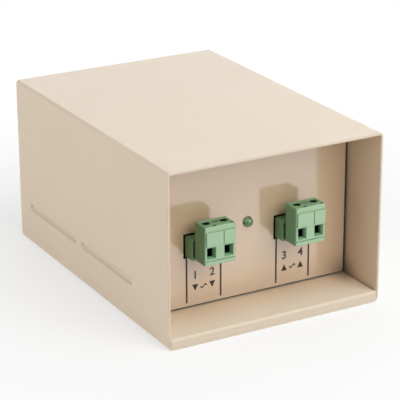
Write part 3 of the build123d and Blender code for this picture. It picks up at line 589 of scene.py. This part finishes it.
plug_polyamide, shader, place = new_finish("plug_polyamide", Specular_IOR_Level=0.06)
drift = place.clouds(plug_blotch)
facing_x, facing_y, _ = facing(place)
plug_colour = drift.tint(plug_shade, plug_green)
# Painted light on the faces that look out of the recess
plug_colour = (facing_y < -facing_limit).tint(plug_colour, drift.tint(painted_light_front_dim, painted_light_front_green))
# Painted shade on the plugs' sides
plug_colour = (abs(facing_x) > facing_limit).tint(plug_colour, drift.tint(painted_shade_side_dim, painted_shade_side_green))
x, y, z = place.axes()
for terminal in ("output", "input"):
    plug_low, plug_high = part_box(terminal + "_plug")
    in_notch_row = (abs(y - plug_low.y - notch_setback) < notch_half_depth) * (z > plug_high.z - notch_sink)
    for side in ("left", "right"):
        low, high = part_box(f"{terminal}_screw_{side}")
        across, deep = x - (low.x + high.x) / 2, y - (low.y + high.y) / 2
        # Painted shade in the screw holes and the notches
        in_hole = (across * across + deep * deep < screw_hole_radius ** 2) * (z < plug_high.z - hole_shade_margin)
        in_notch = in_notch_row * (abs(across - screw_hole_radius) < notch_half_width)
        plug_colour = (in_hole + in_notch).tint(plug_colour, painted_shade_hollows)
# Painted shade in the gap between plug and header
in_gap = (y > header_rim - gap_width) * (y < header_rim)
feed(shader, Base_Color=in_gap.tint(plug_colour, painted_shade_hollows))
feed_skin(shader, place, rough=0.49, rough_drift=0.12, sheen=1.3 * mm, grain=0.25 * mm,
          grain_depth=0.006 * mm)

# painted shade: screws and clamps are near black so that the holes read as dark
painted_shade_steel = even_finish("painted_shade_steel", colour=(0.024, 0.022, 0.020, 1), shade=(0.012, 0.011, 0.010, 1),
                          blotch=1.2 * mm, rough=0.44, rough_drift=0.12, sheen=0.4 * mm, grain=0.3 * mm,
                          grain_depth=0.004 * mm, Metallic=1)
for terminal in ("output", "input"):
    dress(plug_polyamide, terminal + "_plug")
    for side in ("left", "right"):
        dress(painted_shade_steel, f"{terminal}_screw_{side}", f"{terminal}_clamp_{side}")

# Sleeve: one steel sheet folded round into a tube that slides over the chassis from behind, with two long
# beads pressed into each side to stiffen it. It has the same powder coat as the chassis.
dress(powder_coat, "case_sleeve")

# Case screws: four zinc-plated countersunk screws, driven up through the sleeve into the tray's weld nuts.
# Each head has a cross recess, and its cone fills the countersink in the sleeve.
screw_head_radius, screw_radius = 2.25 * mm, 1.25 * mm
screw_head_height = 1.0 * mm
cross_reach, cross_half, cross_depth, cross_taper = 1.25 * mm, 0.32 * mm, 0.8 * mm, 0.6
ring_points = 40
cross_corner = [(cross_reach, -cross_half), (cross_reach, cross_half), (cross_half, cross_half)]


def screw_ring(build, x, y, z, radius):
    """A round ring of points about a screw's axis."""
    angles = [2 * math.pi * n / ring_points for n in range(ring_points)]
    offsets = [(radius * math.cos(angle), radius * math.sin(angle)) for angle in angles]
    return [build.verts.new((x + u, y + v, z)) for u, v in offsets]


def cross_ring(build, x, y, z, scale):
    """The outline of the cross recess about a screw's axis, at a scale."""
    quarters = [Matrix.Rotation(n * math.pi / 2, 2) for n in range(4)]
    corners = [quarter @ Vector(corner) for quarter in quarters for corner in cross_corner]
    return [build.verts.new((x + u * scale, y + v * scale, z)) for u, v in corners]


def band(build, first, second):
    """A strip of faces between two rings of as many points."""
    for n in range(len(first)):
        build.faces.new((first[n - 1], first[n], second[n], second[n - 1]))


screws = bmesh.new()
low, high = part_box("case_screws")
for x in (low.x + screw_head_radius, high.x - screw_head_radius):
    for y in (low.y + screw_head_radius, high.y - screw_head_radius):
        head = screw_ring(screws, x, y, low.z, screw_head_radius)
        neck = screw_ring(screws, x, y, low.z + screw_head_height, screw_radius)
        tip = screw_ring(screws, x, y, high.z, screw_radius)
        mouth = cross_ring(screws, x, y, low.z, 1)
        bottom = cross_ring(screws, x, y, low.z + cross_depth, cross_taper)
        band(screws, head, neck)
        band(screws, neck, tip)
        band(screws, mouth, bottom)
        screws.faces.new(tip)
        screws.faces.new(bottom)
        rims = [screws.edges.get((ring[n - 1], ring[n])) for ring in (head, mouth) for n in range(len(ring))]
        bmesh.ops.triangle_fill(screws, edges=rims, use_beauty=True)
bmesh.ops.recalc_face_normals(screws, faces=screws.faces)
screw_mesh = bpy.data.meshes.new("cross_screws")
screws.to_mesh(screw_mesh)
screws.free()
cross_screws = fit_piece("cross_screws", screw_mesh, zinc, "case")
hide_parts("case_screws")

# Studio: a wide pale floor that keeps the object's soft shadow and fades to white away from it, a white
# room seen by the camera and by reflections, and five large soft lamps.
white = (1, 1, 1, 1)
paper_pale = (0.89, 0.89, 0.89, 1)
paper_shade = (0.87, 0.87, 0.87, 1)
paper_blotch = 50 * mm
floor_reach = 4.0
shadow_reach, white_reach = 0.06, 0.24
shadow_depth = 0.40
room_light = 0.02
ray_kinds = ("Camera", "Glossy", "Transmission")


def seen(start):
    """1 for rays from the camera, a reflection or through glass, 0 for the light that falls on things."""
    rays = start.node("ShaderNodeLightPath", {}, {}).socket.node
    camera, glossy, through = (Flow(rays.outputs[f"Is {kind} Ray"]) for kind in ray_kinds)
    return (camera + glossy + through) > 0


def blend_shaders(tree, factor, first, second, output):
    """Show the first shader where the factor is 0, and the second where it is 1."""
    mix = factor.node("ShaderNodeMixShader", {}, {"Fac": factor, 1: first, 2: second})
    tree.links.new(mix.socket, output.inputs["Surface"])


floor_mesh = bpy.data.meshes.new("floor")
floor_mesh.from_pydata([(-floor_reach, -floor_reach, 0), (floor_reach, -floor_reach, 0),
                        (floor_reach, floor_reach, 0), (-floor_reach, floor_reach, 0)], [], [(0, 1, 2, 3)])
floor = bpy.data.objects.new("floor", floor_mesh)
bpy.context.scene.collection.objects.link(floor)
floor_paper, shader, place = new_finish("floor_paper", Roughness=0.9, IOR=1.3)
feed(shader, Base_Color=place.clouds(paper_blotch).tint(paper_shade, paper_pale))
away = place.node("ShaderNodeVectorMath", {"operation": "LENGTH"}, {0: place}, result="Value")
glow = place.node("ShaderNodeEmission", {}, {"Color": white, "Strength": 1})
whiteness = 1 - shadow_depth * (1 - away.fade(shadow_reach, white_reach))
blend_shaders(floor_paper.node_tree, seen(place) * whiteness, Flow(shader.outputs[0]), glow,
              floor_paper.node_tree.nodes["Material Output"])
floor_mesh.materials.append(floor_paper)

world = bpy.data.worlds.new("studio")
bpy.context.scene.world = world
world.use_nodes = True
room = world.node_tree.nodes["Background"]
room.inputs["Color"].default_value = white
room.inputs["Strength"].default_value = room_light
start = Flow(room.outputs[0])
backdrop = start.node("ShaderNodeBackground", {}, {"Color": white, "Strength": 1})
blend_shaders(world.node_tree, seen(start), start, backdrop, world.node_tree.nodes["World Output"])


def soft_lamp(name, place, target, size, watts):
    """A soft box of a width and height at a place, aimed at a target."""
    lamp = bpy.data.lights.new(name, "AREA")
    lamp.shape = "RECTANGLE"
    lamp.size, lamp.size_y = size
    lamp.energy = watts
    holder = bpy.data.objects.new(name, lamp)
    aim = Vector(target) - Vector(place)
    holder.matrix_world = Matrix.Translation(place) @ aim.to_track_quat("-Z", "Y").to_matrix().to_4x4()
    bpy.context.scene.collection.objects.link(holder)


object_middle = (0, 0, 0.03)
soft_lamp("key_lamp", place=(0.20, -0.90, 0.50), target=object_middle, size=(0.9, 0.7), watts=7.8)
soft_lamp("high_lamp", place=(0.22, -0.45, 0.83), target=object_middle, size=(0.8, 0.6), watts=4.3)
soft_lamp("side_lamp", place=(-0.98, 0.25, 0.28), target=object_middle, size=(1.4, 0.5), watts=7.6)
soft_lamp("right_lamp", place=(0.98, 0.35, 0.34), target=object_middle, size=(1.2, 0.6), watts=2.8)
soft_lamp("back_lamp", place=(0.45, 1.00, 0.50), target=object_middle, size=(1.0, 0.8), watts=4.5)

# Camera: set up as the photograph was taken, from the front left and a little above, with a long lens.
# Its place, aim and lens come from the outline of the box in the photograph.
camera_place = (-0.33139, -0.60032, 0.28888)
camera_aim = Vector((0.45595, 0.81670, -0.35370))
camera_roll = math.radians(0.228)
focal_pixels, frame_pixels = 1804.7, 400

camera = bpy.data.cameras.new("camera")
camera.sensor_width = 36
camera.lens = camera.sensor_width * focal_pixels / frame_pixels
camera_holder = bpy.data.objects.new("camera", camera)
camera_turn = Matrix.Rotation(camera_roll, 3, camera_aim) @ camera_aim.to_track_quat("-Z", "Y").to_matrix()
camera_holder.matrix_world = Matrix.Translation(camera_place) @ camera_turn.to_4x4()
bpy.context.scene.collection.objects.link(camera_holder)
bpy.context.scene.camera = camera_holder
bpy.context.scene.view_settings.view_transform = "Standard"
